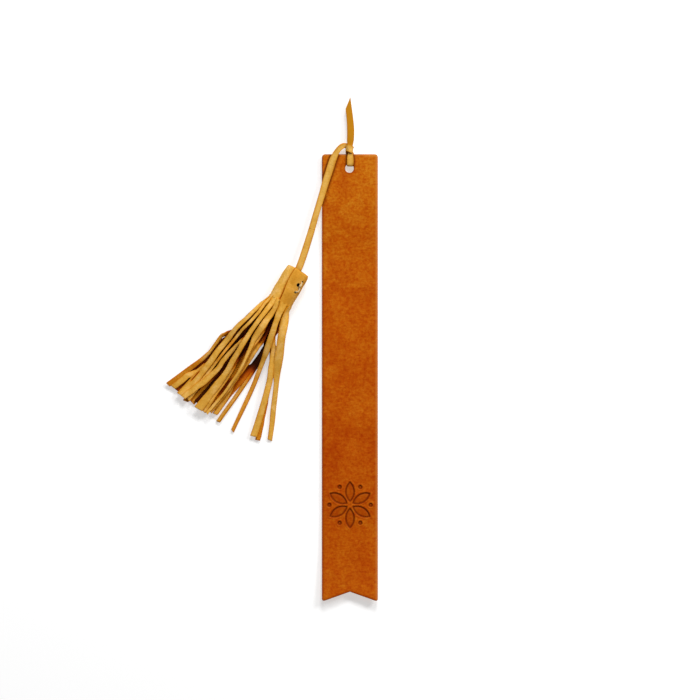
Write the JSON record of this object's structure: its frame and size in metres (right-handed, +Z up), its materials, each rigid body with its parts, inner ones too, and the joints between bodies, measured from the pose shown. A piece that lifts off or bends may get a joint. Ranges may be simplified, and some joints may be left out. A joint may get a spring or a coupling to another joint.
{
  "type": "bookmark",
  "caption": "Flat leather bookmark strip with a notched end and a stamped rosette, tied through its hole to a thin lace that carries a rolled and fringed leather tassel.",
  "frame": {"origin": "centre of the strip's flat back face, on the table", "axes": "+Z up from the table, out of the stamped face; +Y along the strip to its hole end; +X to the right seen from above, with the tassel on the -X side"},
  "size_m": [0.0963, 0.2284, 0.0112],
  "materials": {
    "strip_leather": "satin, vegetable-tanned, burnished edges",
    "lace_leather": "soft matt, cut edges",
    "tassel_leather": "soft matt, cut edges",
    "stitch_thread": "matt waxed thread"
  },
  "bodies": {
    "strip": {"leather_strip": "strip_leather", "lace_loop": "lace_leather", "lace_hitch": "lace_leather"},
    "tail": {"lace_tail": "lace_leather"},
    "lead_upper": {"lace_lead_upper": "lace_leather"},
    "lead_lower": {"lace_lead_lower": "lace_leather"},
    "tassel": {"tassel_head": "tassel_leather", "stitch_thread": "stitch_thread", "lace_end": "lace_leather", "strand_01": "tassel_leather", "strand_02": "tassel_leather", "strand_03": "tassel_leather", "strand_05": "tassel_leather", "strand_08": "tassel_leather", "strand_09": "tassel_leather", "strand_11": "tassel_leather", "strand_12": "tassel_leather", "strand_13": "tassel_leather", "strand_14": "tassel_leather", "strand_15": "tassel_leather", "strand_17": "tassel_leather", "strand_19": "tassel_leather", "strand_20": "tassel_leather", "strand_21": "tassel_leather"},
    "fringe_left": {"strand_04": "tassel_leather", "strand_07": "tassel_leather", "strand_10": "tassel_leather"},
    "fringe_right": {"strand_06": "tassel_leather", "strand_16": "tassel_leather", "strand_18": "tassel_leather"}
  },
  "joints": [
    {"name": "lace_swing", "type": "hinge", "parent": "strip", "child": "lead_upper", "pos_m": [-0.0041, 0.1042, 0.0041], "axis": [0, 0, 1], "range_deg": [-135, 3]},
    {"name": "lace_fold", "type": "hinge", "parent": "lead_upper", "child": "lead_lower", "pos_m": [-0.0141, 0.0752, 0.0041], "axis": [-0.958, 0.2867, 0], "range_deg": [0, 100]},
    {"name": "tassel_swing", "type": "hinge", "parent": "lead_lower", "child": "tassel", "pos_m": [-0.02258, 0.05065, 0.00568], "axis": [0, 0, 1], "range_deg": [-60, 5]},
    {"name": "tail_lift", "type": "hinge", "parent": "strip", "child": "tail", "pos_m": [0.0002, 0.1059, 0.0041], "axis": [1, 0, 0], "range_deg": [0, 75]},
    {"name": "fringe_spread_left", "type": "hinge", "parent": "tassel", "child": "fringe_left", "pos_m": [-0.03639, 0.03768, 0.00568], "axis": [0, 0, 1], "range_deg": [-8, 0]},
    {"name": "fringe_spread_right", "type": "hinge", "parent": "tassel", "child": "fringe_right", "pos_m": [-0.02736, 0.03232, 0.00568], "axis": [0, 0, 1], "range_deg": [0, 8]}
  ]
}
